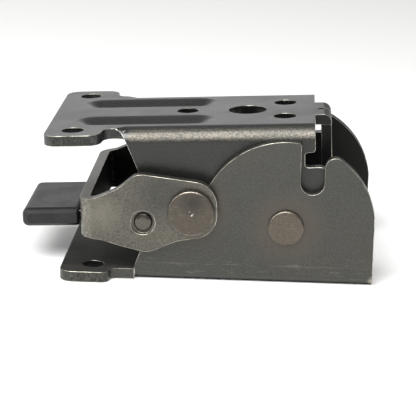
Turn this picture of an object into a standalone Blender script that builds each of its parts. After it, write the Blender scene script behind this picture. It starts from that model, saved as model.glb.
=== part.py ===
"""Self-locking folding leg bracket: two nested sheet-steel channels on one hinge
rivet, with a sprung latch strap that drops its pin into notches at ninety degrees.

Units are metres and +Z is up. The origin lies on the underside of the base plate,
below the hinge axis and at mid width. +X points to the hinge end, away from the grip.
The bracket is modelled folded. The top channel and the latch are drawn in the top
channel's own frame, whose origin is the hinge axis and whose XY plane is parallel to
the top plate. That frame leans by REST_TILT when the bracket is folded.
"""
import math

import bmesh
import bpy
from mathutils import Vector

MM = 0.001

# Sheet metal and fits (millimetres)
SHEET = 3.0
GAP = 0.3
ROUND_STEPS = 48

# Hinge
HINGE_Z = 16.6
REST_TILT = math.radians(2.74)
HINGE_SHANK_R = 3.0
HINGE_HEAD_R = 5.0
HINGE_HEAD_H = 1.0
SLEEVE_R = 4.2

# Base channel, x and z measured from the hinge axis
BASE_HALF = 26.1
BASE_BEND_R = 3.8
BASE_LEFT = -42.4
BASE_RIGHT = 24.6
WALL_R = 24.45
NOTCH_LEFT = 3.7
NOTCH_RIGHT = 10.3
NOTCH_BOTTOM = 9.6
NOSE_R = 2.95
BASE_EAR_LEFT = -63.4
BASE_EAR_RIGHT = -49.4
BASE_EAR_HALF = 30.2
BASE_NECK_HALF = 25.9
BASE_EAR_HOLE = (-54.5, 22.4)

# Top channel, in its own frame
TOP_Z = 28.05
TOP_HALF = 22.8
TOP_BEND_R = 4.5
TOP_LEFT = -46.4
TOP_RIGHT = 8.57
TOP_EAR_LEFT = -66.6
TOP_EAR_RIGHT = -50.9
TOP_EAR_HALF = 29.5
TOP_NECK_HALF = 21.2
TOP_EAR_HOLE = (-58.9, 22.4)
NECK_END = -47.0
SHOULDER_LENGTH = 2.8
SCREW_R = 3.1
MIDDLE_SCREW_X = -28.1
BIG_HOLE_X = -10.8
BIG_HOLE_R = 5.5
PAIR_HOLE_Y = 8.85
BASE_PAIR_X = 14.0
LOBE_BOTTOM = 11.0
LOBE_RIGHT = 11.3
LOBE_TOP = 16.3
TONGUE_HALF = 8.0
TONGUE_DROP_HALF = 5.5
TONGUE_FACE = 13.3
TONGUE_END_Z = 12.0
TONGUE_BEND_R = 2.4
BEAD_Y = 11.2
BEAD_LEFT = -59.6
BEAD_RIGHT = -19.4
BEAD_HALF = 5.9
BEAD_DEPTH = 1.7

# Latch, in the top channel's frame
LOCK = (-26.1, 5.9)
LOCK_R = 2.15
LOCK_FLAT = 1.8
LOCK_HEAD_R = 6.45
LOCK_HEAD_H = 2.0
LOCK_DROP = 14.1
LOCK_PULL = 2.0
ARM_IN = 26.4
ARM_OUT = 29.4
ARM_END_R = 7.2
STRAP_LEFT = -57.5
STRAP_BEND_R = 4.5
STUD = (-39.7, 2.9)
STUD_RECESS_R = 3.4
STUD_RECESS_DEPTH = 1.5
TAB_HALF = 13.4
TAB_BOTTOM = -0.75
TAB_LEFT = -73.4
GRIP_LEFT = -75.9
GRIP_RIGHT = -59.4
GRIP_HALF = 16.2
GRIP_BOTTOM = -1.9
GRIP_TOP = 3.5

# Springs
SPRING_Y = 12.0
SPRING_COIL_R = 2.7
SPRING_WIRE_R = 0.45
SPRING_TURNS = 12


def material(name, colour, roughness, metallic):
    mat = bpy.data.materials.new(name)
    mat.use_nodes = True
    shader = mat.node_tree.nodes["Principled BSDF"]
    shader.inputs["Base Color"].default_value = (*colour, 1.0)
    shader.inputs["Roughness"].default_value = roughness
    shader.inputs["Metallic"].default_value = metallic
    mat.diffuse_color = (*colour, 1.0)
    return mat


def outline(corners, step=math.radians(9.0)):
    """Closed outline from corners (a, b, radius), each rounded by its radius."""
    points = []
    count = len(corners)
    for index in range(count):
        before = Vector(corners[index - 1][:2])
        here = Vector(corners[index][:2])
        after = Vector(corners[(index + 1) % count][:2])
        radius = corners[index][2]
        if radius <= 0.0:
            points.append(here)
            continue
        back = (before - here).normalized()
        ahead = (after - here).normalized()
        angle = back.angle(ahead)
        reach = radius / math.tan(angle / 2.0)
        middle = here + (back + ahead).normalized() * (radius / math.sin(angle / 2.0))
        first = here + back * reach - middle
        last = here + ahead * reach - middle
        turn = first.angle_signed(last)
        steps = max(2, int(math.ceil(abs(turn) / step - 0.01)))
        for number in range(steps + 1):
            share = -turn * number / steps
            points.append(Vector((
                middle.x + first.x * math.cos(share) - first.y * math.sin(share),
                middle.y + first.x * math.sin(share) + first.y * math.cos(share),
            )))
    return points


def circle(a, b, radius, steps=ROUND_STEPS):
    return [
        Vector((
            a + radius * math.cos(2.0 * math.pi * number / steps),
            b + radius * math.sin(2.0 * math.pi * number / steps),
        ))
        for number in range(steps)
    ]


def stadium(a0, a1, b, radius):
    """Slot outline along the first axis, with its end centres at a0 and a1."""
    corners = [
        (a0 - radius, b - radius, radius * 0.999),
        (a1 + radius, b - radius, radius * 0.999),
        (a1 + radius, b + radius, radius * 0.999),
        (a0 - radius, b + radius, radius * 0.999),
    ]
    return outline(corners)


def place(point, level, axis):
    if axis == "X":
        return Vector((level, point[0], point[1])) * MM
    if axis == "Y":
        return Vector((point[0], level, point[1])) * MM
    return Vector((point[0], point[1], level)) * MM


def add_loft(bm, rings, axis):
    """Closed solid through rings, a list of (outline, level) along one axis."""
    loops = []
    for points, level in rings:
        loops.append([bm.verts.new(place(point, level, axis)) for point in points])
    faces = [bm.faces.new(loops[0]), bm.faces.new(loops[-1])]
    for low, high in zip(loops, loops[1:]):
        count = len(low)
        for index in range(count):
            after = (index + 1) % count
            faces.append(bm.faces.new((low[index], low[after], high[after], high[index])))
    bmesh.ops.recalc_face_normals(bm, faces=faces)


def finish_mesh(name, bm, mat, parent):
    mesh = bpy.data.meshes.new(name)
    bm.to_mesh(mesh)
    bm.free()
    mesh.materials.append(mat)
    item = bpy.data.objects.new(name, mesh)
    bpy.context.scene.collection.objects.link(item)
    item.parent = parent
    return item


def tool(name, solids, parent):
    """Hidden boolean tool made of separate closed solids (rings, axis)."""
    bm = bmesh.new()
    for rings, axis in solids:
        add_loft(bm, rings, axis)
    item = finish_mesh(name, bm, MAT_TOOL, parent)
    item.hide_render = True
    item.display_type = "WIRE"
    return item


def boolean(item, other, operation):
    modifier = item.modifiers.new(other.name, "BOOLEAN")
    modifier.operation = operation
    modifier.solver = "EXACT"
    modifier.object = other


def prism(points, low, high, axis="Y"):
    return [(points, low), (points, high)], axis


def disc(a, b, low, high, radius, chamfer=0.0, axis="Y"):
    """Cylinder along an axis, with an optional chamfer at both ends."""
    if chamfer <= 0.0:
        return prism(circle(a, b, radius), low, high, axis)
    rings = [
        (circle(a, b, radius - chamfer), low),
        (circle(a, b, radius), low + chamfer),
        (circle(a, b, radius), high - chamfer),
        (circle(a, b, radius - chamfer), high),
    ]
    return rings, axis


def solid(name, solids, mat, parent):
    bm = bmesh.new()
    for rings, axis in solids:
        add_loft(bm, rings, axis)
    return finish_mesh(name, bm, mat, parent)


def empty(name, location, parent=None, tilt=0.0):
    item = bpy.data.objects.new(name, None)
    item.empty_display_size = 0.01
    item.location = Vector(location) * MM
    item.rotation_euler = (0.0, tilt, 0.0)
    item.parent = parent
    bpy.context.scene.collection.objects.link(item)
    return item


def channel_section(half, bend, edge, inner_edge, far):
    """U section: a plate between two flanges. edge is the plate's outer face."""
    inner_bend = bend - SHEET
    return outline([
        (-half, far, 0.0),
        (-half, edge, bend),
        (half, edge, bend),
        (half, far, 0.0),
        (half - SHEET, far, 0.0),
        (half - SHEET, inner_edge, inner_bend),
        (-half + SHEET, inner_edge, inner_bend),
        (-half + SHEET, far, 0.0),
    ])


def rim_angle(x, radius):
    return math.acos(x / radius)


def rim_radius(share):
    """Radius of the rim beside the notch, from the right edge (0) to the notch (1)."""
    return WALL_R + 0.4 - 0.25 * share + 0.1 * math.sin(math.pi * share)


def wall_profile():
    """Base wall seen from the front, x and z from the hinge axis."""
    points = [Vector((BASE_RIGHT, -HINGE_Z - 1.0))]
    start = rim_angle(BASE_RIGHT, WALL_R + 0.4)
    end = rim_angle(NOTCH_RIGHT + 0.9, WALL_R + 0.1)
    for number in range(15):
        share = number / 14.0
        angle = start + (end - start) * share
        radius = rim_radius(share)
        points.append(Vector((radius * math.cos(angle), radius * math.sin(angle))))
    notch_r = (NOTCH_RIGHT - NOTCH_LEFT) / 2.0
    notch_x = (NOTCH_RIGHT + NOTCH_LEFT) / 2.0
    points.append(Vector((NOTCH_RIGHT + 0.25, points[-1].y - 0.1)))
    points.append(Vector((NOTCH_RIGHT, points[-1].y - 0.7)))
    for number in range(13):
        angle = -math.pi * number / 12.0
        points.append(Vector((
            notch_x + notch_r * math.cos(angle),
            NOTCH_BOTTOM + notch_r + notch_r * math.sin(angle),
        )))
    lip = 0.9
    rim = math.sqrt((WALL_R - lip) ** 2 - (NOTCH_LEFT - lip) ** 2)
    lip_angle = math.atan2(rim, NOTCH_LEFT - lip)
    for number in range(5):
        angle = lip_angle * number / 4.0
        points.append(Vector((
            NOTCH_LEFT - lip + lip * math.cos(angle),
            rim + lip * math.sin(angle),
        )))
    end = math.pi + math.radians(6.0)
    for number in range(1, 31):
        angle = lip_angle + (end - lip_angle) * number / 30.0
        points.append(Vector((WALL_R * math.cos(angle), WALL_R * math.sin(angle))))
    tail = outline([
        (-24.4, -3.0, 0.0),
        (-29.0, -3.6, 3.0),
        (-36.5, -5.2, 6.0),
        (-40.9, -8.6, 3.0),
        (BASE_LEFT, -12.6, 4.0),
        (BASE_LEFT, -HINGE_Z - 1.0, 0.0),
    ])
    points += tail[1:]
    return points


def nose_cut():
    """Waste above the near wall's rounded nose, beside the notch."""
    nose_x = NOTCH_RIGHT + NOSE_R
    reach = rim_radius(0.75) - NOSE_R
    nose_z = math.sqrt(reach ** 2 - nose_x ** 2)
    nose_angle = math.atan2(nose_z, nose_x)
    points = []
    for number in range(11):
        angle = nose_angle + (math.pi - nose_angle) * number / 10.0
        points.append(Vector((
            nose_x + NOSE_R * math.cos(angle),
            nose_z + NOSE_R * math.sin(angle),
        )))
    points.append(Vector((NOTCH_RIGHT - 1.5, nose_z)))
    points.append(Vector((NOTCH_RIGHT - 1.5, nose_z + 10.0)))
    points.append(Vector((nose_x, nose_z)) * ((WALL_R + 4.0) / reach))
    return points


def flange_profile():
    """Top channel flange seen from the front, in the top frame."""
    return outline([
        (TOP_LEFT - 0.6, TOP_Z + 1.0, 0.0),
        (-44.4, 24.8, 3.0),
        (-35.2, 0.4, 3.5),
        (-29.0, -5.6, 5.0),
        (-6.0, -LOBE_BOTTOM, 8.0),
        (LOBE_RIGHT, -LOBE_BOTTOM, 9.8),
        (LOBE_RIGHT, LOBE_TOP, 1.2),
        (5.6, LOBE_TOP, 0.9),
        (5.6, 20.5, 0.9),
        (TOP_RIGHT, 20.5, 1.1),
        (TOP_RIGHT, TOP_Z + 1.0, 0.0),
    ])


def arm_profile():
    """Latch arm seen from the front, in the top frame."""
    return outline([
        (STRAP_LEFT - 0.5, -1.0, 0.0),
        (-51.6, -1.9, 6.0),
        (-46.4, -3.7, 12.0),
        (-38.6, -5.9, 7.0),
        (-30.4, -2.6, 8.0),
        (LOCK[0] + ARM_END_R, LOCK[1] - ARM_END_R + 0.1, ARM_END_R - 0.4),
        (LOCK[0] + ARM_END_R, LOCK[1] + ARM_END_R + 0.3, ARM_END_R - 0.6),
        (-40.9, 17.0, 5.0),
        (-46.4, 12.7, 10.0),
        (-53.0, 10.1, 6.0),
        (STRAP_LEFT - 0.5, 9.8, 0.0),
    ])


def add_base():
    section = channel_section(BASE_HALF, BASE_BEND_R, 0.0, SHEET, 45.0)
    base = solid("base_channel", [prism(section, BASE_LEFT, BASE_RIGHT, "X")],
                 MAT_WALL, None)
    profile = [Vector((p.x, p.y + HINGE_Z)) for p in wall_profile()]
    boolean(base, tool("cut_base_side", [prism(profile, -40.0, 40.0)], None),
            "INTERSECT")
    nose = [Vector((p.x, p.y + HINGE_Z)) for p in nose_cut()]
    boolean(base, tool("round_near_nose", [prism(nose, -40.0, -10.0)], None),
            "DIFFERENCE")
    ear = outline([
        (BASE_EAR_LEFT, -BASE_EAR_HALF, 4.0),
        (BASE_EAR_RIGHT, -BASE_EAR_HALF, 2.3),
        (BASE_EAR_RIGHT + 0.2, -BASE_NECK_HALF, 1.8),
        (BASE_LEFT + 0.01, -BASE_NECK_HALF, 0.0),
        (BASE_LEFT + 0.01, -20.0, 0.0),
        (BASE_LEFT + 6.0, -20.0, 0.0),
        (BASE_LEFT + 6.0, 20.0, 0.0),
        (BASE_LEFT + 0.01, 20.0, 0.0),
        (BASE_LEFT + 0.01, BASE_NECK_HALF, 0.0),
        (BASE_EAR_RIGHT + 0.2, BASE_NECK_HALF, 1.8),
        (BASE_EAR_RIGHT, BASE_EAR_HALF, 2.3),
        (BASE_EAR_LEFT, BASE_EAR_HALF, 4.0),
    ])
    boolean(base, tool("join_base_ear", [prism(ear, 0.0, SHEET, "Z")], None), "UNION")
    holes = [
        disc(0.0, HINGE_Z, -40.0, 40.0, HINGE_SHANK_R + GAP),
        disc(BASE_EAR_HOLE[0], BASE_EAR_HOLE[1], -2.0, 6.0, SCREW_R, 0.0, "Z"),
        disc(BASE_EAR_HOLE[0], -BASE_EAR_HOLE[1], -2.0, 6.0, SCREW_R, 0.0, "Z"),
        disc(MIDDLE_SCREW_X, 0.0, -2.0, 6.0, SCREW_R, 0.0, "Z"),
        disc(BIG_HOLE_X, 0.0, -2.0, 6.0, BIG_HOLE_R, 0.0, "Z"),
        disc(BASE_PAIR_X, PAIR_HOLE_Y, -2.0, 6.0, SCREW_R, 0.0, "Z"),
        disc(BASE_PAIR_X, -PAIR_HOLE_Y, -2.0, 6.0, SCREW_R, 0.0, "Z"),
    ]
    boolean(base, tool("cut_base_holes", holes, None), "DIFFERENCE")
    return base


def add_hinge_rivet():
    inner = BASE_HALF + GAP
    outer = inner + HINGE_HEAD_H
    r = HINGE_SHANK_R
    z = HINGE_Z
    rings = [
        (circle(0.0, z, HINGE_HEAD_R - 0.55), -outer),
        (circle(0.0, z, HINGE_HEAD_R - 0.12), -outer + 0.25),
        (circle(0.0, z, HINGE_HEAD_R), -outer + 0.6),
        (circle(0.0, z, HINGE_HEAD_R), -inner),
        (circle(0.0, z, r), -inner),
        (circle(0.0, z, r), inner),
        (circle(0.0, z, HINGE_HEAD_R), inner),
        (circle(0.0, z, HINGE_HEAD_R), outer - 0.6),
        (circle(0.0, z, HINGE_HEAD_R - 0.12), outer - 0.25),
        (circle(0.0, z, HINGE_HEAD_R - 0.55), outer),
    ]
    return solid("hinge_rivet", [(rings, "Y")], MAT_RIVET, None)


def bead_rings(half, depth, plane, over):
    """Two long soft troughs pressed down from a plane, with half-round ends."""
    left = BEAD_LEFT + BEAD_HALF
    right = BEAD_RIGHT - BEAD_HALF
    solids = []
    for side in (-1.0, 1.0):
        y = side * BEAD_Y
        rings = []
        for share in (0.1, 0.24, 0.37, 0.5, 0.63, 0.76, 0.9):
            level = plane - depth * math.cos(share * math.pi / 2.0) ** 2
            rings.append((stadium(left, right, y, half * share), level))
        rings.append((stadium(left, right, y, half), plane + 0.03))
        rings.append((stadium(left, right, y, half * 1.02), plane + over))
        solids.append((rings, "Z"))
    return solids


def shoulder_section(half, bend):
    """Plate section whose top corners are rounded, cut off at the plate's underside."""
    low = TOP_Z - SHEET
    side = []
    if bend > SHEET:
        most = math.acos((bend - SHEET) / bend)
        turns = [most * (1.0 - number / 8.0) for number in range(9)]
    else:
        side.append(Vector((-half, low)))
        turns = [math.pi / 2.0 * (1.0 - number / 7.0) for number in range(8)]
    for turn in turns:
        side.append(Vector((
            bend - half - bend * math.sin(turn),
            TOP_Z - bend + bend * math.cos(turn),
        )))
    return side + [Vector((-p.x, p.y)) for p in reversed(side)]


def shoulder_rings():
    """Neck that swells into the start of the bends, from the ear to the channel."""
    rings = []
    for number in range(9):
        share = number / 8.0
        half = TOP_NECK_HALF + (TOP_HALF - 0.03 - TOP_NECK_HALF) * share ** 1.6
        bend = 0.1 + (TOP_BEND_R - 0.07) * share
        rings.append((shoulder_section(half, bend), NECK_END + SHOULDER_LENGTH * share))
    return rings


def add_top(fold):
    section = channel_section(TOP_HALF, TOP_BEND_R, TOP_Z, TOP_Z - SHEET, -20.0)
    top = solid("top_channel", [prism(section, TOP_LEFT, TOP_RIGHT + 5.0, "X")], MAT_TOP, fold)
    boolean(top, tool("cut_top_side", [prism(flange_profile(), -40.0, 40.0)], fold),
            "INTERSECT")
    ear = outline([
        (TOP_EAR_LEFT, -TOP_EAR_HALF, 4.0),
        (TOP_EAR_RIGHT, -TOP_EAR_HALF, 3.9),
        (TOP_EAR_RIGHT + 0.6, -TOP_NECK_HALF, 3.0),
        (NECK_END + 0.01, -TOP_NECK_HALF, 0.0),
        (NECK_END + 0.01, -18.0, 0.0),
        (TOP_LEFT + 6.0, -18.0, 0.0),
        (TOP_LEFT + 6.0, 18.0, 0.0),
        (NECK_END + 0.01, 18.0, 0.0),
        (NECK_END + 0.01, TOP_NECK_HALF, 0.0),
        (TOP_EAR_RIGHT + 0.6, TOP_NECK_HALF, 3.0),
        (TOP_EAR_RIGHT, TOP_EAR_HALF, 3.9),
        (TOP_EAR_LEFT, TOP_EAR_HALF, 4.0),
    ])
    boolean(top, tool("join_top_ear", [prism(ear, TOP_Z - SHEET, TOP_Z, "Z")], fold),
            "UNION")
    boolean(top, tool("join_shoulder", [(shoulder_rings(), "X")], fold), "UNION")
    tongue = outline([
        (2.0, TOP_Z, 0.0),
        (TONGUE_FACE, TOP_Z, TONGUE_BEND_R),
        (TONGUE_FACE, TOP_Z - SHEET - 0.2, 0.7),
        (TONGUE_FACE - 2.0, TOP_Z - SHEET - 0.2, 0.0),
        (TONGUE_FACE - 2.4, TOP_Z - SHEET, 0.0),
        (2.0, TOP_Z - SHEET, 0.0),
    ])
    boolean(top, tool("join_tongue", [prism(tongue, -TONGUE_HALF, TONGUE_HALF)], fold),
            "UNION")
    drop = outline([
        (TONGUE_FACE - 0.02, TOP_Z - 2.2, 0.0),
        (TONGUE_FACE - 0.02, TONGUE_END_Z, 0.5),
        (TONGUE_FACE - SHEET, TONGUE_END_Z, 0.5),
        (TONGUE_FACE - SHEET, TOP_Z - SHEET, 0.8),
        (TONGUE_FACE - SHEET - 2.5, TOP_Z - SHEET, 0.0),
        (TONGUE_FACE - SHEET - 2.5, TOP_Z - 2.2, 0.0),
    ])
    side = TONGUE_DROP_HALF
    boolean(top, tool("join_tongue_drop", [prism(drop, -side, side)], fold), "UNION")
    dart = []
    for share in (0.25, 0.55, 0.85, 1.15):
        lens = [Vector((TONGUE_FACE - 1.6 + p.x * 2.6 * share, p.y * 1.25 * share))
                for p in circle(0.0, 0.0, 1.0, 24)]
        dart.append((lens, TOP_Z - 1.0 + 1.0 * share ** 2))
    boolean(top, tool("press_tongue_dart", [(dart, "Z")], fold), "DIFFERENCE")
    under = bead_rings(BEAD_HALF + 0.5, BEAD_DEPTH, TOP_Z - SHEET, 0.6)
    boolean(top, tool("join_beads", under, fold), "UNION")
    grooves = bead_rings(BEAD_HALF, BEAD_DEPTH, TOP_Z, 0.25)
    boolean(top, tool("cut_beads", grooves, fold), "DIFFERENCE")
    slot = stadium(LOCK[0] - LOCK_PULL, LOCK[0] + LOCK_DROP, LOCK[1], LOCK_R + GAP)
    holes = [
        disc(0.0, 0.0, -40.0, 40.0, HINGE_SHANK_R + GAP),
        prism(slot, -40.0, 40.0),
        disc(TOP_EAR_HOLE[0], TOP_EAR_HOLE[1], 20.0, 32.0, SCREW_R, 0.0, "Z"),
        disc(TOP_EAR_HOLE[0], -TOP_EAR_HOLE[1], 20.0, 32.0, SCREW_R, 0.0, "Z"),
        disc(MIDDLE_SCREW_X, 0.0, 20.0, 32.0, SCREW_R, 0.0, "Z"),
        disc(BIG_HOLE_X, 0.0, 20.0, 32.0, BIG_HOLE_R, 0.0, "Z"),
        disc(0.0, PAIR_HOLE_Y, 20.0, 32.0, SCREW_R + 0.15, 0.0, "Z"),
        disc(0.0, -PAIR_HOLE_Y, 20.0, 32.0, SCREW_R + 0.15, 0.0, "Z"),
    ]
    boolean(top, tool("cut_top_holes", holes, fold), "DIFFERENCE")
    return top


def add_sleeve(fold):
    half = TOP_HALF - SHEET - GAP
    sleeve = solid("hinge_sleeve", [disc(0.0, 0.0, -half, half, SLEEVE_R, 0.3)],
                   MAT_ZINC, fold)
    bore = [disc(0.0, 0.0, -half - 2.0, half + 2.0, HINGE_SHANK_R + GAP)]
    boolean(sleeve, tool("cut_sleeve_bore", bore, fold), "DIFFERENCE")
    return sleeve


def add_spring(name, y, fold):
    """Tension spring from the hinge sleeve to the lock pin, hooked at both ends."""
    span = math.hypot(LOCK[0], LOCK[1])
    along = Vector((LOCK[0] / span, 0.0, LOCK[1] / span))
    across = Vector((-along.z, 0.0, along.x))
    side = Vector((0.0, 1.0, 0.0))
    near_r = SLEEVE_R + GAP + SPRING_WIRE_R
    far_r = LOCK_R + GAP + SPRING_WIRE_R
    path = []
    for number in range(19):
        angle = math.radians(300.0 - 240.0 * number / 18.0)
        path.append((near_r * math.cos(angle), near_r * math.sin(angle), 0.0))
    coil_start = near_r + 2.0
    coil_end = span - far_r - 2.0
    steps = SPRING_TURNS * 14
    for number in range(steps + 1):
        share = number / steps
        angle = 2.0 * math.pi * SPRING_TURNS * share + math.pi / 2.0
        ease = min(1.0, share * SPRING_TURNS * 2.0, (1.0 - share) * SPRING_TURNS * 2.0)
        radius = SPRING_COIL_R * (0.55 + 0.45 * ease)
        distance = coil_start + (coil_end - coil_start) * share
        path.append((distance, radius * math.sin(angle), radius * math.cos(angle)))
    for number in range(15):
        angle = math.radians(125.0 - 250.0 * number / 14.0)
        path.append((span + far_r * math.cos(angle), far_r * math.sin(angle), 0.0))
    curve = bpy.data.curves.new(name, "CURVE")
    curve.dimensions = "3D"
    curve.bevel_depth = SPRING_WIRE_R * MM
    curve.bevel_resolution = 1
    curve.use_fill_caps = True
    line = curve.splines.new("POLY")
    line.points.add(len(path) - 1)
    for point, (a, b, c) in zip(line.points, path):
        spot = (along * a + across * b + side * (c + y)) * MM
        point.co = (*spot, 1.0)
    curve.materials.append(MAT_SPRING)
    item = bpy.data.objects.new(name, curve)
    item.parent = fold
    bpy.context.scene.collection.objects.link(item)
    return item


def moved(points):
    """Outline in the top frame shifted into the latch frame at the lock pin."""
    return [Vector((p.x - LOCK[0], p.y - LOCK[1])) for p in points]


def add_strap(latch):
    left = STRAP_LEFT - LOCK[0]
    plan = outline([
        (30.0, -ARM_OUT, 0.0),
        (30.0, -ARM_IN, 0.0),
        (left + SHEET, -ARM_IN, STRAP_BEND_R - SHEET),
        (left + SHEET, ARM_IN, STRAP_BEND_R - SHEET),
        (30.0, ARM_IN, 0.0),
        (30.0, ARM_OUT, 0.0),
        (left, ARM_OUT, STRAP_BEND_R),
        (left, -ARM_OUT, STRAP_BEND_R),
    ])
    strap = solid("latch_strap", [prism(plan, -30.0, 30.0, "Z")], MAT_STRAP, latch)
    side = [prism(moved(arm_profile()), -40.0, 40.0)]
    boolean(strap, tool("cut_strap_side", side, latch), "INTERSECT")
    web = STRAP_LEFT + SHEET
    tab = outline([
        (web, 8.0, 0.0),
        (web, TAB_BOTTOM, SHEET + 0.9),
        (TAB_LEFT, TAB_BOTTOM, 0.6),
        (TAB_LEFT, TAB_BOTTOM + SHEET, 0.6),
        (STRAP_LEFT, TAB_BOTTOM + SHEET, 0.9),
        (STRAP_LEFT, 8.0, 0.0),
    ])
    boolean(strap, tool("join_tab", [prism(moved(tab), -TAB_HALF, TAB_HALF)], latch),
            "UNION")
    stud_x = STUD[0] - LOCK[0]
    stud_z = STUD[1] - LOCK[1]
    floor = ARM_OUT - STUD_RECESS_DEPTH
    holes = [
        disc(0.0, 0.0, -40.0, 40.0, LOCK_R + GAP),
        disc(stud_x, stud_z, -40.0, -floor, STUD_RECESS_R),
        disc(stud_x, stud_z, floor, 40.0, STUD_RECESS_R),
    ]
    boolean(strap, tool("cut_strap_holes", holes, latch), "DIFFERENCE")
    bores = [disc(stud_x, stud_z, -40.0, 40.0, 2.0)]
    boolean(strap, tool("cut_stud_bores", bores, latch), "DIFFERENCE")
    return strap


def add_grip(latch):
    body = outline([
        (GRIP_LEFT, GRIP_BOTTOM, 1.7),
        (GRIP_RIGHT, GRIP_BOTTOM, 0.7),
        (GRIP_RIGHT, GRIP_TOP, 1.4),
        (GRIP_LEFT, GRIP_TOP, 2.0),
    ])
    small = outline([
        (GRIP_LEFT + 1.6, GRIP_BOTTOM + 1.2, 1.2),
        (GRIP_RIGHT - 0.5, GRIP_BOTTOM + 1.2, 0.5),
        (GRIP_RIGHT - 0.5, GRIP_TOP - 1.2, 0.5),
        (GRIP_LEFT + 1.6, GRIP_TOP - 1.2, 1.2),
    ])
    inner = outline([
        (GRIP_LEFT + 0.45, GRIP_BOTTOM + 0.35, 1.5),
        (GRIP_RIGHT - 0.15, GRIP_BOTTOM + 0.35, 0.6),
        (GRIP_RIGHT - 0.15, GRIP_TOP - 0.35, 0.6),
        (GRIP_LEFT + 0.45, GRIP_TOP - 0.35, 1.7),
    ])
    rings = [
        (moved(small), -GRIP_HALF),
        (moved(inner), -GRIP_HALF + 0.9),
        (moved(body), -GRIP_HALF + 2.2),
        (moved(body), GRIP_HALF - 2.2),
        (moved(inner), GRIP_HALF - 0.9),
        (moved(small), GRIP_HALF),
    ]
    grip = solid("grip_sheath", [(rings, "Y")], MAT_VINYL, latch)
    pocket = outline([
        (TAB_LEFT - GAP, TAB_BOTTOM - GAP, 0.6),
        (GRIP_RIGHT + 2.0, TAB_BOTTOM - GAP, 0.0),
        (GRIP_RIGHT + 2.0, TAB_BOTTOM + SHEET + GAP, 0.0),
        (TAB_LEFT - GAP, TAB_BOTTOM + SHEET + GAP, 0.6),
    ])
    half = TAB_HALF + GAP
    boolean(grip, tool("cut_grip_pocket", [prism(moved(pocket), -half, half)], latch),
            "DIFFERENCE")
    return grip


def flat_section(radius, flat, steps=ROUND_STEPS):
    """Circle with its top and bottom cut to flats."""
    points = circle(0.0, 0.0, radius, steps)
    return [Vector((p.x, max(-flat, min(flat, p.y)))) for p in points]


def add_lock_pin(latch):
    inner = ARM_OUT + GAP
    outer = inner + LOCK_HEAD_H
    flange_out = TOP_HALF + 0.2
    flange_in = TOP_HALF - SHEET - 0.2
    cap_end = inner - 0.1
    full = circle(0.0, 0.0, LOCK_R)
    cut = flat_section(LOCK_R, LOCK_FLAT)
    rings = [
        (circle(0.0, 0.0, 0.15), -outer + 0.45),
        (circle(0.0, 0.0, 0.75), -outer + 0.06),
        (circle(0.0, 0.0, LOCK_HEAD_R - 0.7), -outer),
        (circle(0.0, 0.0, LOCK_HEAD_R - 0.16), -outer + 0.22),
        (circle(0.0, 0.0, LOCK_HEAD_R), -outer + 0.7),
        (circle(0.0, 0.0, LOCK_HEAD_R), -inner),
        (full, -inner),
        (full, -flange_out),
        (cut, -flange_out),
        (cut, -flange_in),
        (full, -flange_in),
        (full, flange_in),
        (cut, flange_in),
        (cut, flange_out),
        (full, flange_out),
        (full, cap_end),
        (circle(0.0, 0.0, 1.6), cap_end),
        (circle(0.0, 0.0, 1.6), outer - 0.1),
    ]
    return solid("lock_pin", [(rings, "Y")], MAT_RIVET, latch)


def add_lock_cap(latch):
    inner = ARM_OUT + GAP
    outer = inner + LOCK_HEAD_H
    rings = [
        (circle(0.0, 0.0, LOCK_HEAD_R), inner),
        (circle(0.0, 0.0, LOCK_HEAD_R), outer - 0.7),
        (circle(0.0, 0.0, LOCK_HEAD_R - 0.16), outer - 0.22),
        (circle(0.0, 0.0, LOCK_HEAD_R - 0.7), outer),
    ]
    cap = solid("lock_pin_cap", [(rings, "Y")], MAT_RIVET, latch)
    bore = [disc(0.0, 0.0, 20.0, 40.0, 1.6 + GAP)]
    boolean(cap, tool("cut_cap_bore", bore, latch), "DIFFERENCE")
    return cap


def add_stud(name, side, latch):
    """Domed plug rivet sunk in the arm's round recess."""
    x = STUD[0] - LOCK[0]
    z = STUD[1] - LOCK[1]
    floor = ARM_OUT - STUD_RECESS_DEPTH + GAP
    rings = [
        (circle(x, z, 1.7), side * (ARM_IN + 0.1)),
        (circle(x, z, 1.7), side * floor),
        (circle(x, z, 2.6), side * floor),
        (circle(x, z, 2.55), side * (floor + 0.35)),
        (circle(x, z, 2.2), side * (floor + 0.68)),
        (circle(x, z, 1.5), side * (floor + 0.9)),
        (circle(x, z, 0.7), side * (floor + 1.0)),
    ]
    return solid(name, [(rings, "Y")], MAT_STRAP, latch)


for old in list(bpy.data.objects):
    bpy.data.objects.remove(old, do_unlink=True)

MAT_TOOL = material("boolean_tool", (0.8, 0.2, 0.2), 0.8, 0.0)
MAT_WALL = material("gunmetal_wall", (0.10, 0.095, 0.085), 0.45, 0.85)
MAT_TOP = material("gunmetal_plate", (0.115, 0.12, 0.125), 0.4, 0.85)
MAT_STRAP = material("gunmetal_strap", (0.09, 0.09, 0.088), 0.42, 0.85)
MAT_RIVET = material("brown_steel_rivet", (0.14, 0.12, 0.10), 0.45, 0.9)
MAT_ZINC = material("zinc_sleeve", (0.45, 0.45, 0.46), 0.4, 0.9)
MAT_SPRING = material("spring_wire", (0.35, 0.35, 0.36), 0.35, 0.95)
MAT_VINYL = material("black_vinyl", (0.02, 0.02, 0.022), 0.5, 0.0)

fold_axis = empty("fold_axis", (0.0, 0.0, HINGE_Z), None, -REST_TILT)
latch_slide = empty("latch_slide", (LOCK[0], 0.0, LOCK[1]), fold_axis)

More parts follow.
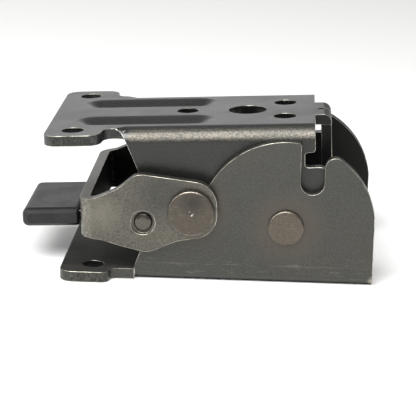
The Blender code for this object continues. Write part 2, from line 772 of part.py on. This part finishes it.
add_base()
add_hinge_rivet()
add_top(fold_axis)
add_sleeve(fold_axis)
add_spring("spring_near", -SPRING_Y, fold_axis)
add_spring("spring_far", SPRING_Y, fold_axis)
add_strap(latch_slide)
add_grip(latch_slide)
add_lock_pin(latch_slide)
add_lock_cap(latch_slide)
add_stud("guide_stud_near", -1.0, latch_slide)
add_stud("guide_stud_far", 1.0, latch_slide)
bpy.context.view_layer.update()
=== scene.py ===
"""Folding leg bracket: materials, worn edges, springs, floor, light and camera."""
import math

import bmesh
import bpy
from mathutils import Matrix, Vector


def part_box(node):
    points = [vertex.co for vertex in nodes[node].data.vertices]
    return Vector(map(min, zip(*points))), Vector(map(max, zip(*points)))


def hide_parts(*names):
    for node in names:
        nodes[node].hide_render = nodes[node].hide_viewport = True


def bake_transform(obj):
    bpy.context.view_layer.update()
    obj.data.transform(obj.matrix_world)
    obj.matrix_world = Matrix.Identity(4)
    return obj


MM = 0.001

# Camera: place in metres, angles in degrees, focal length in millimetres
CAMERA_PLACE = (0.00072, -0.4982, 0.1561)
CAMERA_YAW = 2.74
CAMERA_PITCH = 15.89
CAMERA_ROLL = 1.07
CAMERA_LENS = 152.6
SENSOR_WIDTH = 36.0

# Share of metal in the dark steel, whose rest scatters like dull oxide, and in bare metal
METAL = 0.78
BARE_METAL = 0.95

# Half-widths of the channels and the strap that their finishes follow, in metres
WALL_INNER = 0.0232
WALL_OUTER = 0.0275
FLANGE_INNER = 0.0203
FLANGE_OUTER = 0.0240
STRAP_INNER = 0.0268
BEND_START = 0.0170
BEND_FULL = 0.0185

# Heights and lengths on the channels, in metres
CHANNEL_START = -0.0440
FLANGE_LOW = 0.022
FLANGE_HIGH = 0.039
CREASE_HEIGHT = 0.0052
SCUFF_FULL = 0.0045
SCUFF_END = 0.0085
CORNER_HIGHLIGHT_HEIGHT = 0.0012

# Lines across the strap, given by a point on each, for its painted shadow and painted
# highlight, and offsets beside the pin's middle for its painted shade and painted
# highlight
STRAP_SHADOW = (-0.0345, 0.0, 0.0262)
STRAP_HIGHLIGHT = (-0.0515, 0.0, 0.0195)
TOP_SHADE_OFFSET = Vector((0.0006, 0.0, 0.0030))
LIP_HIGHLIGHT_OFFSET = Vector((0.0005, 0.0, -0.0005))

# Colours that several finishes share: painted shade inside the channels
PAINTED_INSIDE_SHADE = (0.012, 0.012, 0.0115)

# Rolled edges: points closer than WELD are slivers left by the cuts, in metres
WELD = 0.00015
EDGE_WIDTH = 0.14 * MM
EDGE_SEGMENTS = 2
EDGE_MATERIAL = 1
FLAT_ANGLE = math.radians(0.6)
SHARP_ANGLE = math.radians(32.0)
NORMAL_WEIGHT = 80

# Studio, in metres
FLOOR_HALF = 3.0
FLOOR_HEIGHT = -0.0001
FLOOR_COLOUR = (0.95, 0.95, 0.945)
FLOOR_ROUGHNESS = 0.80
WORLD_COLOUR = (1.0, 1.0, 0.99)
WORLD_STRENGTH = 0.30

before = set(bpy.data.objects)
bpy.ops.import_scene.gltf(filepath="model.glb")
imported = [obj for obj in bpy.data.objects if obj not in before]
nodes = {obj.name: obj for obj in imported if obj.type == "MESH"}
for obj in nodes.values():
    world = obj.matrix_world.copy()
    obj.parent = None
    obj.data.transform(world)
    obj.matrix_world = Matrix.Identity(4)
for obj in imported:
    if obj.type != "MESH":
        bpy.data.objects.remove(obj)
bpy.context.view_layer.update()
scene = bpy.context.scene


# ---------------------------------------------------------------- node helpers
class Tree:
    """Small helper round a material's node tree."""

    def __init__(self, name):
        self.mat = bpy.data.materials.new(name)
        self.mat.use_nodes = True
        self.nodes = self.mat.node_tree.nodes
        self.links = self.mat.node_tree.links
        self.shader = self.nodes["Principled BSDF"]
        self.place = self.nodes.new("ShaderNodeTexCoord")
        self.rough = None

    def link(self, source, target):
        self.links.new(source, target)

    def noise(self, scale, detail=3.0, rough=0.55, stretch=(1.0, 1.0, 1.0)):
        """Noise in the object's own metres, stretched where its scale is below 1."""
        place = self.nodes.new("ShaderNodeMapping")
        place.inputs["Scale"].default_value = stretch
        self.link(self.place.outputs["Object"], place.inputs["Vector"])
        node = self.nodes.new("ShaderNodeTexNoise")
        node.inputs["Scale"].default_value = scale
        node.inputs["Detail"].default_value = detail
        node.inputs["Roughness"].default_value = rough
        self.link(place.outputs["Vector"], node.inputs["Vector"])
        return node.outputs["Fac"]

    def ramp(self, source, low, high, out_low=0.0, out_high=1.0):
        node = self.nodes.new("ShaderNodeMapRange")
        node.inputs["From Min"].default_value = low
        node.inputs["From Max"].default_value = high
        node.inputs["To Min"].default_value = out_low
        node.inputs["To Max"].default_value = out_high
        self.link(source, node.inputs["Value"])
        return node.outputs["Result"]

    def math(self, kind, first, second=None):
        node = self.nodes.new("ShaderNodeMath")
        node.operation = kind
        for socket, value in zip(node.inputs, (first, second)):
            if value is None:
                continue
            if isinstance(value, float):
                socket.default_value = value
            else:
                self.link(value, socket)
        return node.outputs["Value"]

    def times(self, first, *others):
        """Product of two or more values."""
        product = first
        for other in others:
            product = self.math("MULTIPLY", product, other)
        return product

    def plus(self, first, second):
        return self.math("ADD", first, second)

    def minus(self, first, second):
        return self.math("SUBTRACT", first, second)

    def size(self, value):
        """A value without its sign."""
        return self.math("ABSOLUTE", value)

    def mix(self, factor, first, second):
        node = self.nodes.new("ShaderNodeMix")
        node.data_type = "RGBA"
        sockets = [s for s in node.inputs if s.type == "RGBA"]
        if isinstance(factor, float):
            node.inputs["Factor"].default_value = factor
        else:
            self.link(factor, node.inputs["Factor"])
        for socket, value in zip(sockets, (first, second)):
            if isinstance(value, tuple):
                socket.default_value = (*value, 1.0)
            else:
                self.link(value, socket)
        return [s for s in node.outputs if s.type == "RGBA"][0]

    def axis(self, output, letter):
        """One coordinate of the place (Object) or of the surface's direction (Normal)."""
        node = self.nodes.new("ShaderNodeSeparateXYZ")
        self.link(self.place.outputs[output], node.inputs["Vector"])
        return node.outputs[letter]

    def distance(self, point):
        """Distance from the line through a point along Y."""
        shift = self.nodes.new("ShaderNodeVectorMath")
        shift.operation = "SUBTRACT"
        self.link(self.place.outputs["Object"], shift.inputs[0])
        shift.inputs[1].default_value = point
        flat = self.nodes.new("ShaderNodeVectorMath")
        flat.operation = "MULTIPLY"
        self.link(shift.outputs["Vector"], flat.inputs[0])
        flat.inputs[1].default_value = (1.0, 0.0, 1.0)
        size = self.nodes.new("ShaderNodeVectorMath")
        size.operation = "LENGTH"
        self.link(flat.outputs["Vector"], size.inputs[0])
        return size.outputs["Value"]

    def bump(self, height, strength, depth, before=None):
        node = self.nodes.new("ShaderNodeBump")
        node.inputs["Strength"].default_value = strength
        node.inputs["Distance"].default_value = depth
        self.link(height, node.inputs["Height"])
        if before is not None:
            self.link(before, node.inputs["Normal"])
        return node.outputs["Normal"]


# ------------------------------------------------------------------- materials
def steel(name, dark, light, brown, rough, grain=0.25, streak=(1.0, 1.0, 8.0)):
    """Dark sheet steel: cloudy tone, brown bloom, fine grain and streaks."""
    tree = Tree(name)
    cloud = tree.ramp(tree.noise(55.0, 4.0, 0.6), 0.35, 0.68)
    tone = tree.mix(cloud, dark, light)
    bloom = tree.noise(38.0, 3.0, 0.5, (1.0, 1.0, 1.4))
    tone = tree.mix(tree.ramp(bloom, 0.50, 0.74, 0.0, 0.55), tone, brown)
    fine = tree.noise(2600.0, 2.0, 0.7)
    speck = tree.ramp(fine, 0.32, 0.70)
    dim = tuple(c * (1.0 - grain) for c in dark)
    bright = tuple(min(1.0, c * (1.0 + 1.5 * grain)) for c in light)
    tone = tree.mix(0.62, tone, tree.mix(speck, dim, bright))
    lines = tree.noise(260.0, 3.0, 0.65, streak)
    tone = tree.mix(tree.ramp(lines, 0.52, 0.72, 0.0, 0.16), tone, bright)
    tree.shader.inputs["Metallic"].default_value = METAL
    tree.rough = tree.plus(tree.ramp(cloud, 0.0, 1.0, rough - 0.04, rough + 0.05),
                           tree.ramp(fine, 0.3, 0.7, -0.05, 0.06))
    grainy = tree.bump(fine, 0.16, 0.00006)
    normal = tree.bump(tree.noise(900.0, 3.0, 0.6), 0.10, 0.0001, grainy)
    tree.link(normal, tree.shader.inputs["Normal"])
    return tree, tone


def facing(tree, letter, low=0.5, high=0.8):
    """1 where the surface faces one way or the other along an axis."""
    return tree.ramp(tree.size(tree.axis("Normal", letter)), low, high)


def within(tree, half):
    """1 between two planes y = -half and y = half, with a soft border of 1 mm."""
    return tree.ramp(tree.size(tree.axis("Object", "Y")), half, half + MM, 1.0, 0.0)


def shear(tree, tone, half):
    """Tear marks on the sheet's cut edges, beyond a distance from the middle."""
    edge = tree.times(facing(tree, "Y"), tree.minus(1.0, within(tree, half)))
    tears = tree.noise(1900.0, 3.0, 0.7, (1.0, 1.0, 0.55))
    dark_tears = tree.times(edge, tree.ramp(tears, 0.38, 0.50, 0.75, 0.0))
    tone = tree.mix(dark_tears, tone, (0.018, 0.018, 0.016))
    bright_tears = tree.times(edge, tree.ramp(tears, 0.56, 0.68, 0.0, 0.5))
    return tree.mix(bright_tears, tone, (0.120, 0.113, 0.095))


def roughen(tree, mask, amount):
    tree.rough = tree.plus(tree.rough, tree.times(mask, amount))


def finish_steel(tree, tone):
    tree.link(tone, tree.shader.inputs["Base Color"])
    tree.link(tree.rough, tree.shader.inputs["Roughness"])
    return tree.mat


def middle_of(name):
    low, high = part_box(name)
    return tuple((low + high) / 2.0)


def make_wall():
    """Base channel: brown round the rivet and pin, painted shade inside, painted
    highlights at its end's bottom corner and where its fold meets the wall, and scuffed
    along the fold.
    """
    tree, tone = steel("wall_steel", (0.046, 0.046, 0.0405), (0.065, 0.064, 0.0580),
                       (0.070, 0.061, 0.047), 0.36)
    for name in ("hinge_rivet", "lock_pin"):
        near = tree.ramp(tree.distance(middle_of(name)), 0.0065, 0.0125, 0.35, 0.0)
        tone = tree.mix(near, tone, (0.100, 0.080, 0.060))
    # Painted shade on the faces between the walls, heaviest on the upright ones.
    upright = tree.ramp(facing(tree, "Y"), 0.0, 1.0, 0.6, 0.93)
    inside = tree.times(within(tree, WALL_INNER), upright)
    tone = tree.mix(inside, tone, PAINTED_INSIDE_SHADE)
    roughen(tree, facing(tree, "Z"), 0.22)
    tone = shear(tree, tone, WALL_OUTER)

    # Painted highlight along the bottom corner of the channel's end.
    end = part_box("base_channel")[1][0]
    corner = tree.distance((end, 0.0, CORNER_HIGHLIGHT_HEIGHT))
    corner = tree.ramp(corner, 0.0004, 0.0016, 0.75, 0.0)
    tone = tree.mix(corner, tone, (0.42, 0.39, 0.32))

    height = tree.axis("Object", "Z")
    # Painted highlight: a thin, broken bright line at CREASE_HEIGHT, where the fold meets
    # the wall.
    crease_highlight = tree.size(tree.minus(height, CREASE_HEIGHT))
    broken = tree.ramp(tree.noise(120.0, 3.0, 0.7, (0.6, 1.0, 1.0)), 0.42, 0.7, 0.0, 0.4)
    crease_highlight = tree.times(tree.ramp(crease_highlight, 0.00008, 0.00035, 1.0, 0.0), broken)
    tone = tree.mix(crease_highlight, tone, (0.140, 0.130, 0.100))

    band = tree.ramp(height, SCUFF_FULL, SCUFF_END, 1.0, 0.0)
    scuffs = tree.noise(1100.0, 4.0, 0.75, (0.16, 1.0, 1.0))
    scuffs = tree.ramp(scuffs, 0.58, 0.74, 0.0, 0.26)
    tone = tree.mix(tree.times(band, scuffs), tone, (0.36, 0.34, 0.30))
    return finish_steel(tree, tone)


def make_plate():
    """Top channel: painted shade on the flanges, inside and underneath, and bends rubbed
    to bright flecks that also carry a painted highlight.
    """
    tree, tone = steel("plate_steel", (0.050, 0.052, 0.051), (0.071, 0.073, 0.071),
                       (0.060, 0.056, 0.048), 0.33, 0.24, (1.0, 8.0, 1.0))
    outer = tree.ramp(tree.size(tree.axis("Object", "Y")), BEND_START, BEND_FULL)
    # Painted shade on the flanges' outer faces, a little heavier higher up.
    depth = tree.ramp(tree.axis("Object", "Z"), FLANGE_LOW, FLANGE_HIGH, 0.44, 0.56)
    flange = tree.times(facing(tree, "Y", 0.8, 1.0), outer, depth)
    tone = tree.mix(flange, tone, (0.014, 0.013, 0.0105))
    # Painted shade on the inner faces between the flanges.
    inside = tree.times(within(tree, FLANGE_INNER), facing(tree, "Y"), 0.9)
    tone = tree.mix(inside, tone, PAINTED_INSIDE_SHADE)
    up = tree.axis("Normal", "Z")
    # Painted shade on faces that point downward.
    below = tree.ramp(up, -0.7, -0.4, 0.85, 0.0)
    tone = tree.mix(below, tone, (0.014, 0.014, 0.0135))

    side = tree.size(tree.axis("Normal", "Y"))
    bend = tree.ramp(tree.times(side, side, tree.size(up)), 0.08, 0.34)
    channel = tree.ramp(tree.axis("Object", "X"), CHANNEL_START - MM, CHANNEL_START)
    bend = tree.times(bend, outer, channel)
    roughen(tree, bend, 0.15)
    tone = shear(tree, tone, FLANGE_OUTER)
    # Rubbed steel on the bends, and also a painted highlight where they face halfway
    # between side and top.
    flecks = tree.noise(3200.0, 3.0, 0.75, (0.6, 1.0, 1.0))
    flecks = tree.ramp(flecks, 0.42, 0.66, 0.0, 0.85)
    tone = tree.mix(tree.times(bend, flecks), tone, (0.215, 0.190, 0.148))
    return finish_steel(tree, tone)


def make_strap():
    """Latch strap: lighter and browner, with a painted shadow across it, a painted
    highlight at its bend and painted shade inside.
    """
    tree, tone = steel("strap_steel", (0.056, 0.055, 0.047), (0.106, 0.100, 0.084),
                       (0.108, 0.089, 0.065), 0.34, 0.30)
    # Painted shadow across the strap round the line through STRAP_SHADOW.
    dull = tree.ramp(tree.distance(STRAP_SHADOW), 0.003, 0.0105, 0.62, 0.0)
    tone = tree.mix(dull, tone, (0.040, 0.041, 0.037))
    # Painted highlight near the strap's bend.
    bend_highlight = tree.ramp(tree.distance(STRAP_HIGHLIGHT), 0.001, 0.0075, 0.42, 0.0)
    tone = tree.mix(bend_highlight, tone, (0.200, 0.185, 0.150))
    # Painted shade on the strap's inner faces, which are also rougher.
    back = tree.ramp(tree.axis("Normal", "X"), 0.5, 0.8)
    inward = tree.math("MAXIMUM", facing(tree, "Y"), back)
    inside = tree.times(within(tree, STRAP_INNER), inward, 0.93)
    tone = tree.mix(inside, tone, (0.010, 0.010, 0.0095))
    roughen(tree, inside, 0.40)
    # Painted highlight on the strap's bends, broken into flecks.
    side = tree.size(tree.axis("Normal", "Y"))
    end = tree.size(tree.axis("Normal", "X"))
    bend = tree.ramp(tree.times(end, side), 0.15, 0.5, 0.0, 0.75)
    flecks = tree.ramp(tree.noise(1400.0, 3.0, 0.7), 0.45, 0.65, 0.1, 0.7)
    tone = tree.mix(tree.times(bend, flecks), tone, (0.34, 0.32, 0.27))
    return finish_steel(tree, tone)


def add_centre_shade_and_highlight(tree, tone, middle, radius):
    """Painted shade over the upper part of a rivet's head, and a small painted highlight
    on the lower side of a ring round its middle.
    """
    top_shade = tree.distance(tuple(Vector(middle) + TOP_SHADE_OFFSET))
    top_shade = tree.ramp(top_shade, 0.0008, 0.0046, 0.62, 0.0)
    tone = tree.mix(top_shade, tone, (0.026, 0.025, 0.023))
    inner = tree.ramp(radius, 0.00040, 0.00052)
    outer = tree.ramp(radius, 0.00066, 0.00082, 1.0, 0.0)
    lit = tree.distance(tuple(Vector(middle) + LIP_HIGHLIGHT_OFFSET))
    lit = tree.ramp(lit, 0.0003, 0.0007, 1.0, 0.0)
    return tree.mix(tree.times(inner, outer, lit), tone, (0.42, 0.40, 0.36))


def make_rivet(name, middle, dark, light, dome, marked=False):
    """Turned head, slightly crowned: fine rings round its axis under short scratches."""
    tree, tone = steel(name, dark, light, (0.125, 0.098, 0.075), 0.36, 0.16)
    radius = tree.distance(middle)
    rings = tree.math("SINE", tree.times(radius, 26000.0))
    scratch = tree.noise(420.0, 4.0, 0.8, (1.0, 1.0, 5.0))
    tone = tree.mix(tree.ramp(scratch, 0.58, 0.70, 0.0, 0.40), tone, (0.22, 0.19, 0.15))
    # The marked head gets painted shade and a painted highlight round its middle.
    if marked:
        tone = add_centre_shade_and_highlight(tree, tone, middle, radius)
    grain = tree.shader.inputs["Normal"].links[0].from_socket
    crown = tree.times(radius, radius, -dome)
    crowned = tree.bump(crown, 1.0, 1.0, grain)
    relief = tree.plus(rings, tree.times(scratch, 3.0))
    normal = tree.bump(relief, 0.10, 0.00003, crowned)
    tree.link(normal, tree.shader.inputs["Normal"])
    return finish_steel(tree, tone)


def make_edge(name, colour, dull):
    """Bare steel where edges have been rubbed bright, broken by darker stretches."""
    tree = Tree(name)
    patch = tree.ramp(tree.noise(240.0, 4.0, 0.7), 0.36, 0.60)
    fine = tree.noise(2400.0, 2.0, 0.7)
    tone = tree.mix(patch, dull, colour)
    tone = tree.mix(tree.ramp(fine, 0.35, 0.65, 0.0, 0.35), tone, dull)
    tree.link(tone, tree.shader.inputs["Base Color"])
    tree.shader.inputs["Metallic"].default_value = BARE_METAL
    tree.link(tree.ramp(fine, 0.3, 0.7, 0.26, 0.40), tree.shader.inputs["Roughness"])
    tree.link(tree.bump(fine, 0.15, 0.00005), tree.shader.inputs["Normal"])
    return tree.mat


def make_bare(name, colour, rough):
    """Bare or plated metal with a fine, even mottle."""
    tree = Tree(name)
    fine = tree.noise(1800.0, 2.0, 0.6)
    dim = tuple(c * 0.8 for c in colour)
    tone = tree.mix(tree.ramp(fine, 0.3, 0.7), dim, colour)
    tree.link(tone, tree.shader.inputs["Base Color"])
    tree.shader.inputs["Metallic"].default_value = BARE_METAL
    gloss = tree.ramp(fine, 0.3, 0.7, rough - 0.05, rough + 0.06)
    tree.link(gloss, tree.shader.inputs["Roughness"])
    tree.link(tree.bump(fine, 0.1, 0.00004), tree.shader.inputs["Normal"])
    return tree.mat


def make_vinyl():
    """Dipped vinyl: black, satin, slightly orange-peeled, with duller, rubbed patches."""
    tree = Tree("dipped_vinyl")
    peel = tree.noise(320.0, 2.0, 0.5)
    fine = tree.noise(1900.0, 3.0, 0.6)
    rub = tree.ramp(tree.noise(120.0, 4.0, 0.65), 0.48, 0.70)
    tone = tree.mix(rub, (0.006, 0.006, 0.0065), (0.015, 0.015, 0.016))
    tree.link(tone, tree.shader.inputs["Base Color"])
    gloss = tree.plus(tree.ramp(rub, 0.0, 1.0, 0.40, 0.50),
                      tree.ramp(fine, 0.3, 0.7, -0.04, 0.05))
    tree.link(gloss, tree.shader.inputs["Roughness"])
    tree.shader.inputs["Specular IOR Level"].default_value = 0.34
    soft = tree.bump(peel, 0.12, 0.0004)
    tree.link(tree.bump(fine, 0.08, 0.00008, soft), tree.shader.inputs["Normal"])
    return tree.mat


WALL = make_wall()
PLATE = make_plate()
STRAP = make_strap()
HINGE = make_rivet("hinge_rivet_steel", middle_of("hinge_rivet"),
                   (0.070, 0.059, 0.047), (0.110, 0.093, 0.074), 5.0)
LOCK = make_rivet("lock_pin_steel", middle_of("lock_pin"),
                  (0.052, 0.046, 0.038), (0.086, 0.074, 0.060), 7.0, True)
EDGE = make_edge("worn_edge", (0.62, 0.59, 0.51), (0.115, 0.108, 0.094))
SOFT_EDGE = make_edge("soft_edge", (0.42, 0.38, 0.32), (0.10, 0.09, 0.075))
ZINC = make_bare("zinc_tube", (0.45, 0.45, 0.47), 0.36)
STUD = make_bare("stud_steel", (0.105, 0.096, 0.082), 0.24)
WIRE = make_bare("spring_wire", (0.36, 0.36, 0.38), 0.32)
VINYL = make_vinyl()


# ---------------------------------------------------------------------- pieces
def finish(item, main):
    """Gives an object one material and smooth faces."""
    item.data.materials.clear()
    item.data.materials.append(main)
    for face in item.data.polygons:
        face.use_smooth = True


def roll_edges(item, edge):
    """Rolls an object's sharp edges and gives them their own material."""
    item.data.materials.append(edge)
    weld = item.modifiers.new("weld", "WELD")
    weld.merge_threshold = WELD
    flat = item.modifiers.new("flat", "DECIMATE")
    flat.decimate_type = "DISSOLVE"
    flat.angle_limit = FLAT_ANGLE
    roll = item.modifiers.new("roll", "BEVEL")
    roll.width = EDGE_WIDTH
    roll.segments = EDGE_SEGMENTS
    roll.limit_method = "ANGLE"
    roll.angle_limit = SHARP_ANGLE
    roll.use_clamp_overlap = False
    roll.material = EDGE_MATERIAL


def dress(name, main, edge=None):
    """Gives a CAD node its finish, and with edge also rolled, worn edges."""
    item = nodes[name]
    finish(item, main)
    if edge:
        roll_edges(item, edge)
    normal = item.modifiers.new("normal", "WEIGHTED_NORMAL")
    normal.weight = NORMAL_WEIGHT


def stretch_spring(name):
    """Replaces a CAD spring by a copy of its mesh in the spring wire finish."""
    item = bpy.data.objects.new(name + "_coil", nodes[name].data.copy())
    scene.collection.objects.link(item)
    finish(item, WIRE)
    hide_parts(name)
    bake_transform(item)


dress("base_channel", WALL, EDGE)
dress("top_channel", PLATE, EDGE)
dress("latch_strap", STRAP, EDGE)
dress("hinge_rivet", HINGE, SOFT_EDGE)
dress("lock_pin", LOCK, SOFT_EDGE)
dress("lock_pin_cap", LOCK, SOFT_EDGE)
dress("guide_stud_near", STUD)
dress("guide_stud_far", STUD)
dress("hinge_sleeve", ZINC)
stretch_spring("spring_near")
stretch_spring("spring_far")
dress("grip_sheath", VINYL)


# ---------------------------------------------------------------- studio
def plain(name, colour, rough):
    """Material of one colour, for the floor."""
    mat = bpy.data.materials.new(name)
    mat.use_nodes = True
    shader = mat.node_tree.nodes["Principled BSDF"]
    shader.inputs["Base Color"].default_value = (*colour, 1.0)
    shader.inputs["Roughness"].default_value = rough
    return mat


def add_floor():
    bm = bmesh.new()
    signs = [(-1, -1), (1, -1), (1, 1), (-1, 1)]
    corners = [(x * FLOOR_HALF, y * FLOOR_HALF, FLOOR_HEIGHT) for x, y in signs]
    bm.faces.new([bm.verts.new(corner) for corner in corners])
    mesh = bpy.data.meshes.new("floor")
    bm.to_mesh(mesh)
    bm.free()
    mesh.materials.append(plain("pale_floor", FLOOR_COLOUR, FLOOR_ROUGHNESS))
    item = bpy.data.objects.new("floor", mesh)
    scene.collection.objects.link(item)


def add_light(name, place, target, size, power):
    """White rectangular light, in watts, that faces a target."""
    data = bpy.data.lights.new(name, "AREA")
    data.shape = "RECTANGLE"
    data.size, data.size_y = size
    data.energy = power
    item = bpy.data.objects.new(name, data)
    item.location = place
    aim = Vector(target) - Vector(place)
    item.rotation_euler = aim.to_track_quat("-Z", "Y").to_euler()
    scene.collection.objects.link(item)


def add_world():
    world = bpy.data.worlds.new("studio")
    world.use_nodes = True
    back = world.node_tree.nodes["Background"]
    back.inputs["Color"].default_value = (*WORLD_COLOUR, 1.0)
    back.inputs["Strength"].default_value = WORLD_STRENGTH
    scene.world = world


def add_camera():
    yaw, pitch, roll = (math.radians(v) for v in (CAMERA_YAW, CAMERA_PITCH, CAMERA_ROLL))
    ahead = Vector((-math.sin(yaw) * math.cos(pitch), math.cos(yaw) * math.cos(pitch),
                    -math.sin(pitch)))
    right = Vector((math.cos(yaw), math.sin(yaw), 0.0))
    up = right.cross(ahead)
    rolled_right = math.cos(roll) * right + math.sin(roll) * up
    rolled_up = math.cos(roll) * up - math.sin(roll) * right
    turn = Matrix((rolled_right, rolled_up, -ahead)).transposed().to_4x4()
    data = bpy.data.cameras.new("camera")
    data.sensor_width = SENSOR_WIDTH
    data.lens = CAMERA_LENS
    data.clip_start = 0.01
    item = bpy.data.objects.new("camera", data)
    item.matrix_world = Matrix.Translation(CAMERA_PLACE) @ turn
    scene.collection.objects.link(item)
    scene.camera = item


add_floor()
add_light("top_softbox", (-0.15, -0.62, 0.74), (0.0, 0.0, 0.0), (0.80, 0.55), 16.5)
add_light("back_panel", (-0.60, 1.10, 0.42), (0.0, 0.0, 0.0), (1.5, 0.6), 2.3)
add_light("left_panel", (-0.80, -0.25, 0.35), (0.0, 0.0, 0.02), (0.5, 0.5), 2.0)
add_world()
add_camera()
scene.view_settings.view_transform = "Standard"
scene.view_settings.look = "None"
